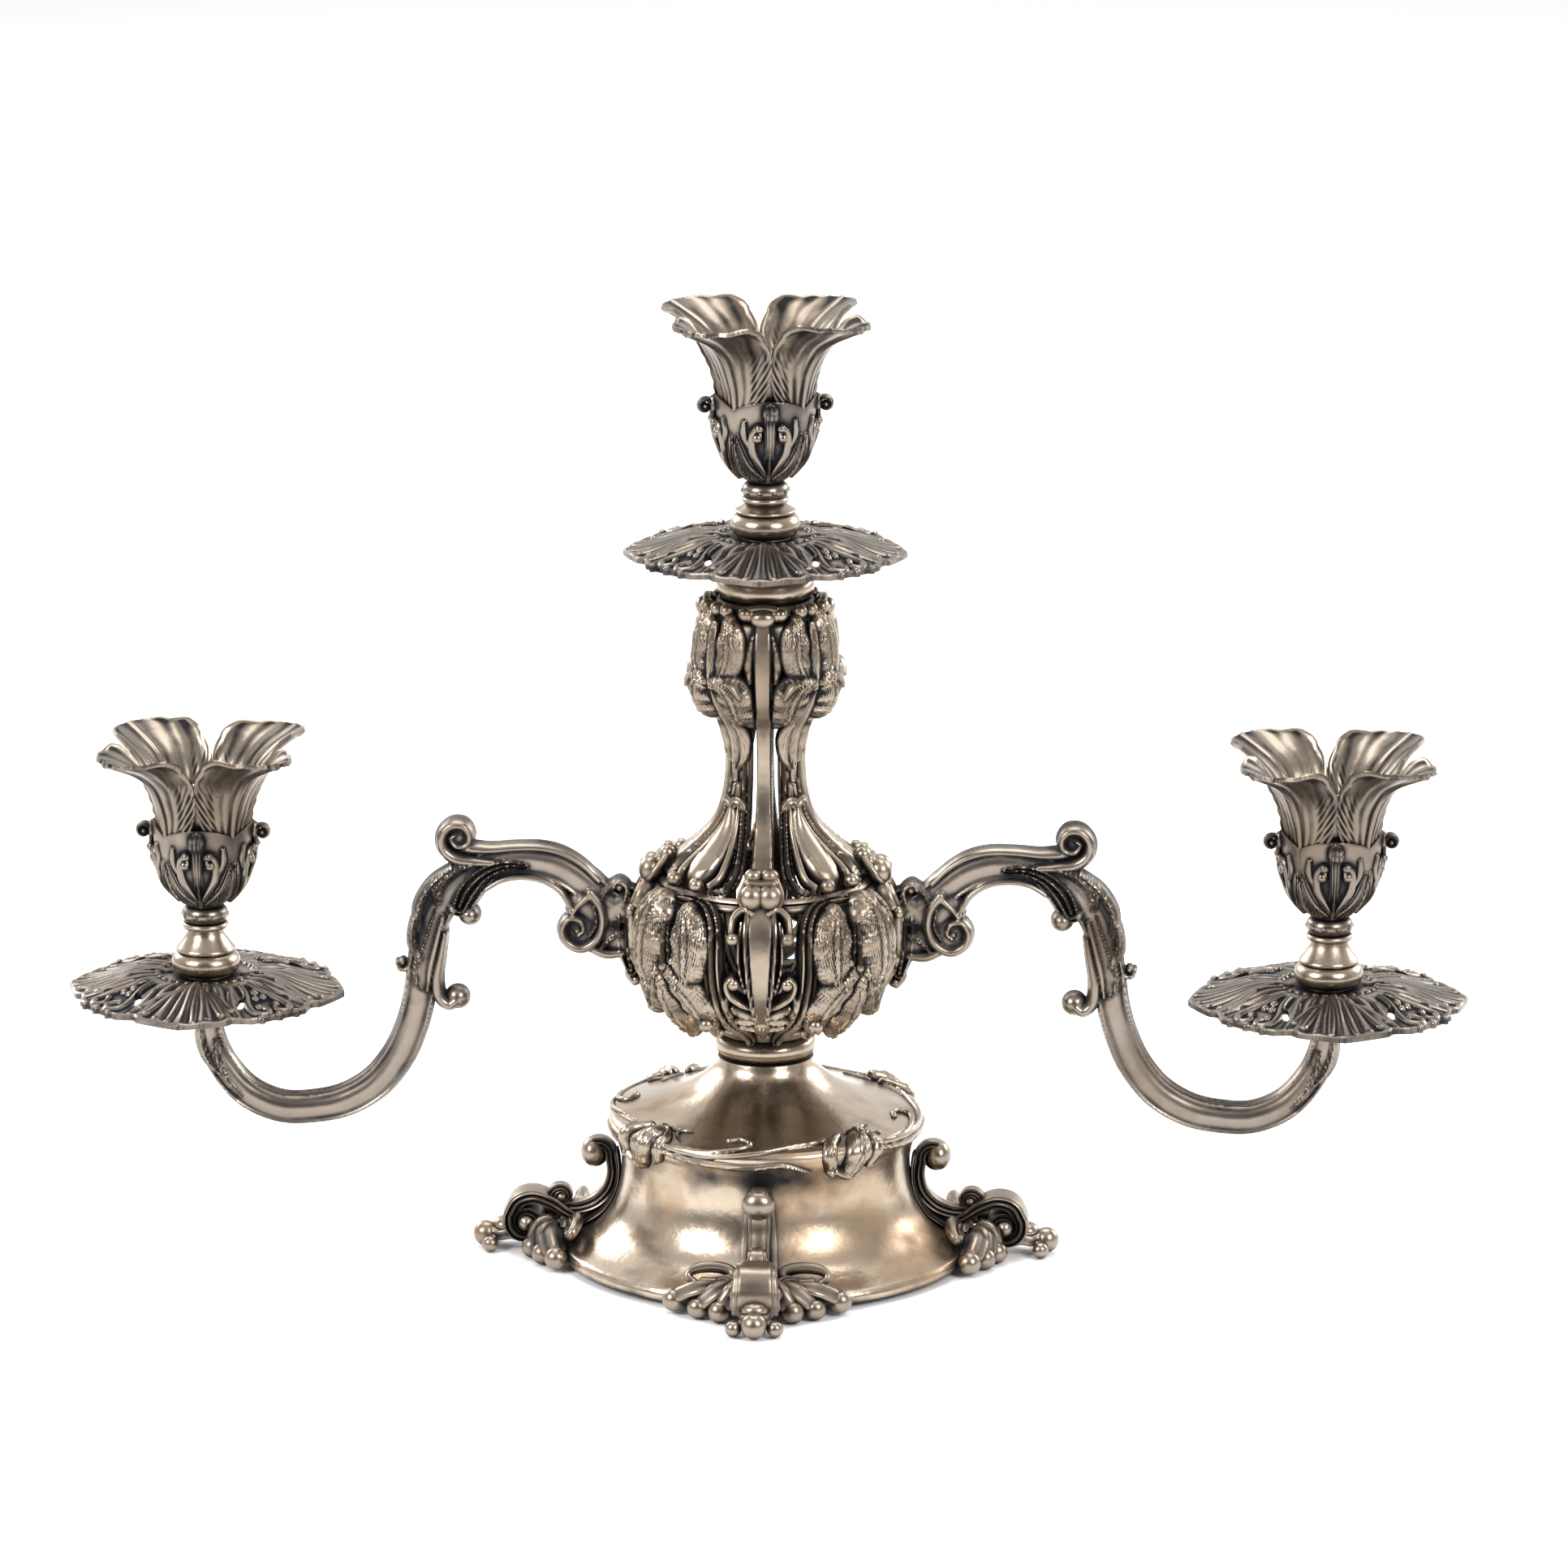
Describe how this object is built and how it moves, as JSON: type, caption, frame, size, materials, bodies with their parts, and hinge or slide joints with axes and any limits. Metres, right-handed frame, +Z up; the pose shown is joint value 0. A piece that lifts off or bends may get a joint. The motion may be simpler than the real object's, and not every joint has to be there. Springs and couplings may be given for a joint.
{
  "type": "candelabrum",
  "caption": "Silver-plated table candelabrum with S-scroll arms, flower-shaped candle sockets over leaf drip pans, an openwork iris stem and a domed base on scroll feet.",
  "frame": {"origin": "on the table, under the middle of the stem, level with the feet's flat undersides", "axes": "+Z up along the stem, +X along the right arm, -Y towards the front"},
  "size_m": [0.4965, 0.209, 0.3412],
  "materials": {
    "cast_plate": "old silver plate on cast brass, rubbed bright on the high parts and black in the recesses",
    "spun_plate": "polished silver plate on spun and turned brass, with brown tarnish blotches",
    "petal_plate": "silver plate worn warm inside the petals",
    "liner_plate": "dull silver plate on drawn brass tube",
    "steel_fixings": "plain turned steel"
  },
  "bodies": {
    "stand": {"base_shell": "spun_plate", "base_collar": "spun_plate", "foot_front": "cast_plate", "foot_right": "cast_plate", "foot_back": "cast_plate", "foot_left": "cast_plate", "iris_spray_front_left": "cast_plate", "iris_spray_front_right": "cast_plate", "iris_spray_back_right": "cast_plate", "iris_spray_back_left": "cast_plate", "lower_bulb": "cast_plate", "trumpet": "cast_plate", "bulb_iris_front_left": "cast_plate", "bulb_iris_front_right": "cast_plate", "bulb_iris_back_right": "cast_plate", "bulb_iris_back_left": "cast_plate", "upper_iris_front_left": "cast_plate", "upper_iris_front_right": "cast_plate", "upper_iris_back_right": "cast_plate", "upper_iris_back_left": "cast_plate", "top_collar": "spun_plate", "tie_rod": "steel_fixings", "tie_washer": "steel_fixings", "tie_nut": "steel_fixings", "arm_right": "cast_plate", "arm_left": "cast_plate", "arm_screw_right": "steel_fixings", "arm_screw_left": "steel_fixings", "stud_left": "steel_fixings", "stud_right": "steel_fixings", "clamp_nut_left": "steel_fixings", "clamp_nut_right": "steel_fixings", "clamp_nut_top": "steel_fixings"},
    "left_pan": {"drip_pan_left": "cast_plate"},
    "left_nozzle": {"waist_left": "spun_plate", "calyx_left": "cast_plate", "petals_left": "petal_plate"},
    "left_liner": {"liner_left": "liner_plate"},
    "right_pan": {"drip_pan_right": "cast_plate"},
    "right_nozzle": {"waist_right": "spun_plate", "calyx_right": "cast_plate", "petals_right": "petal_plate"},
    "right_liner": {"liner_right": "liner_plate"},
    "top_pan": {"drip_pan_top": "cast_plate"},
    "top_nozzle": {"waist_top": "spun_plate", "calyx_top": "cast_plate", "petals_top": "petal_plate"},
    "top_liner": {"liner_top": "liner_plate"}
  },
  "joints": [
    {"name": "left_pan_turn", "type": "hinge", "parent": "stand", "child": "left_pan", "pos_m": [-0.199, 0, 0.1005], "axis": [0, 0, 1], "continuous": true},
    {"name": "left_nozzle_turn", "type": "hinge", "parent": "stand", "child": "left_nozzle", "pos_m": [-0.199, 0, 0.127], "axis": [0, 0, 1], "continuous": true},
    {"name": "left_liner_lift", "type": "slide", "parent": "left_nozzle", "child": "left_liner", "axis": [0, 0, 1], "range_m": [0, 0.06]},
    {"name": "right_pan_turn", "type": "hinge", "parent": "stand", "child": "right_pan", "pos_m": [0.199, 0, 0.1005], "axis": [0, 0, 1], "continuous": true},
    {"name": "right_nozzle_turn", "type": "hinge", "parent": "stand", "child": "right_nozzle", "pos_m": [0.199, 0, 0.127], "axis": [0, 0, 1], "continuous": true},
    {"name": "right_liner_lift", "type": "slide", "parent": "right_nozzle", "child": "right_liner", "axis": [0, 0, 1], "range_m": [0, 0.06]},
    {"name": "top_pan_turn", "type": "hinge", "parent": "stand", "child": "top_pan", "pos_m": [0, 0, 0.261], "axis": [0, 0, 1], "continuous": true},
    {"name": "top_nozzle_turn", "type": "hinge", "parent": "stand", "child": "top_nozzle", "pos_m": [0, 0, 0.282], "axis": [0, 0, 1], "continuous": true},
    {"name": "top_liner_lift", "type": "slide", "parent": "top_nozzle", "child": "top_liner", "axis": [0, 0, 1], "range_m": [0, 0.06]}
  ]
}
